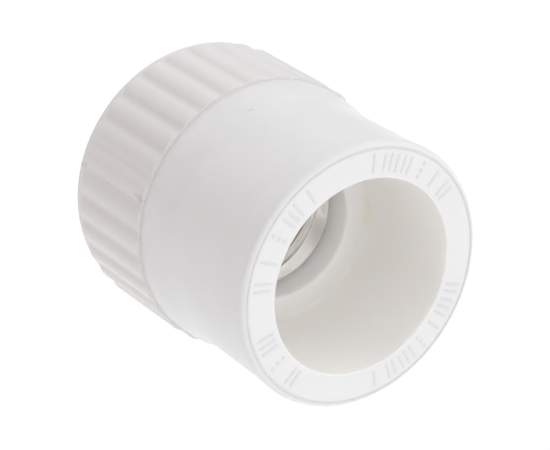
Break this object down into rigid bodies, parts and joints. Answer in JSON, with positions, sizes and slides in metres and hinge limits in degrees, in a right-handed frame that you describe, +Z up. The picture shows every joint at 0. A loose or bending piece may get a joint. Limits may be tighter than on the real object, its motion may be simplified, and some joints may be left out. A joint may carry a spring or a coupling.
{
  "type": "female threaded pipe adapter",
  "caption": "White plastic heat-fusion pipe adapter: plain pipe socket at one end, ribbed collar with a moulded-in plated brass female-thread insert at the other.",
  "frame": {"origin": "centre of the pipe socket's mouth, on the fitting's axis", "axes": "the fitting lies on its side: +Y runs along its axis from the socket mouth towards the threaded end, +Z is up"},
  "size_m": [0.0368, 0.0373, 0.0368],
  "materials": {
    "white_ppr": "satin moulded",
    "plated_brass": "nickel plated, machined",
    "black_epdm": "matt"
  },
  "bodies": {
    "root": {"ppr_body": "white_ppr", "brass_insert": "plated_brass", "seal_oring": "black_epdm"}
  },
  "joints": []
}
